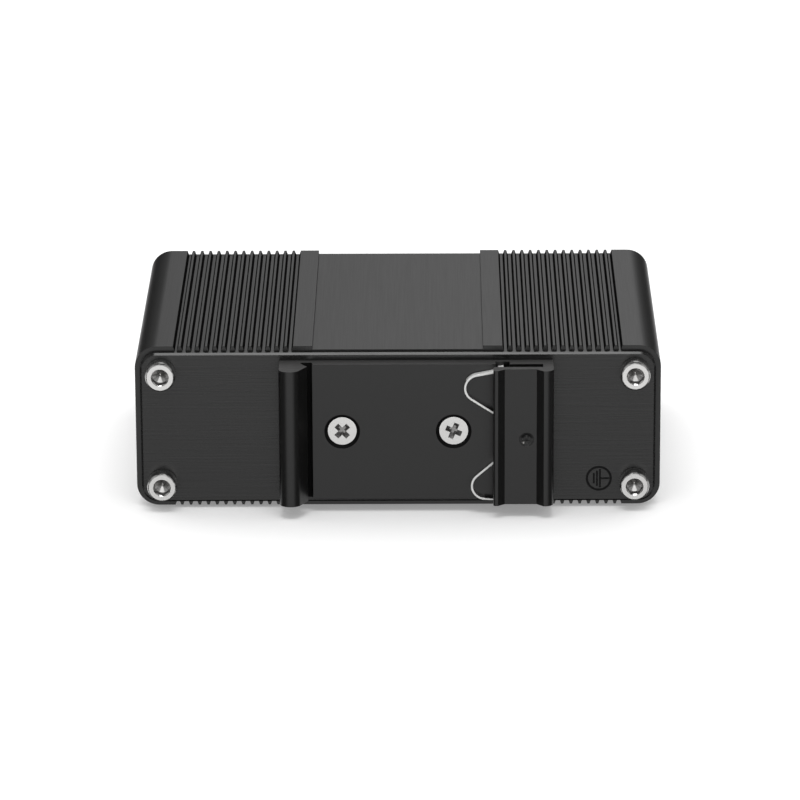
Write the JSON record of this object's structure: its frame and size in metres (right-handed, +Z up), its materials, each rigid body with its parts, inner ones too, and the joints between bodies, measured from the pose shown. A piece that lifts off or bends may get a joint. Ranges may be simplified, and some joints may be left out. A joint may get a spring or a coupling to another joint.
{
  "type": "rail-mounted media converter",
  "caption": "Finned black aluminium box with screwed end plates, copper and fibre network ports in front, and a spring rail clip on its rear plate.",
  "frame": {"origin": "middle of the overall box, on the surface that the underside's ribs stand on", "axes": "+Z up, +X across the unit with the clip's spring channel on the +X side, -Y the rear plate and rail clip, +Y the front plate and ports"},
  "size_m": [0.0944, 0.0734, 0.03],
  "materials": {
    "anodised_housing": "black anodised extrusion, satin",
    "anodised_plate": "black anodised sheet, brushed lengthwise",
    "anodised_clip": "black anodised extrusion, fine matt blast",
    "screw_steel": "bright stainless steel",
    "spring_steel": "bright rolled spring steel",
    "blackened_pin": "blackened steel, staked end",
    "board_laminate": "green solder mask",
    "shield_sheet": "nickel plated sheet",
    "black_moulding": "fine moulded",
    "gilt_contacts": "gilt plated",
    "green_moulding": "fine moulded",
    "clear_moulding": "clear moulded",
    "lamp_moulding": "white ceramic and resin",
    "chip_moulding": "black moulding compound",
    "can_metal": "drawn can",
    "ferrite": "sintered grey"
  },
  "bodies": {
    "root": {"housing_shell": "anodised_housing", "rear_plate": "anodised_plate", "front_plate": "anodised_plate", "rear_plate_screws": "screw_steel", "front_plate_screws": "screw_steel", "din_clip": "anodised_clip", "clip_screws": "screw_steel", "clip_spring": "spring_steel", "spring_pin": "blackened_pin", "main_board": "board_laminate", "ethernet_jack_shield": "shield_sheet", "ethernet_jack_insert": "black_moulding", "ethernet_jack_contacts": "gilt_contacts", "fibre_cage": "shield_sheet", "fibre_connector": "black_moulding", "power_header": "green_moulding", "power_header_pins": "gilt_contacts", "light_pipes": "clear_moulding", "status_leds": "lamp_moulding", "converter_chip": "chip_moulding", "clock_crystal": "can_metal", "line_transformer": "chip_moulding", "voltage_regulator": "chip_moulding", "power_inductor": "ferrite", "input_fuse": "lamp_moulding", "surge_suppressors": "chip_moulding", "input_capacitors": "chip_moulding"}
  },
  "joints": []
}
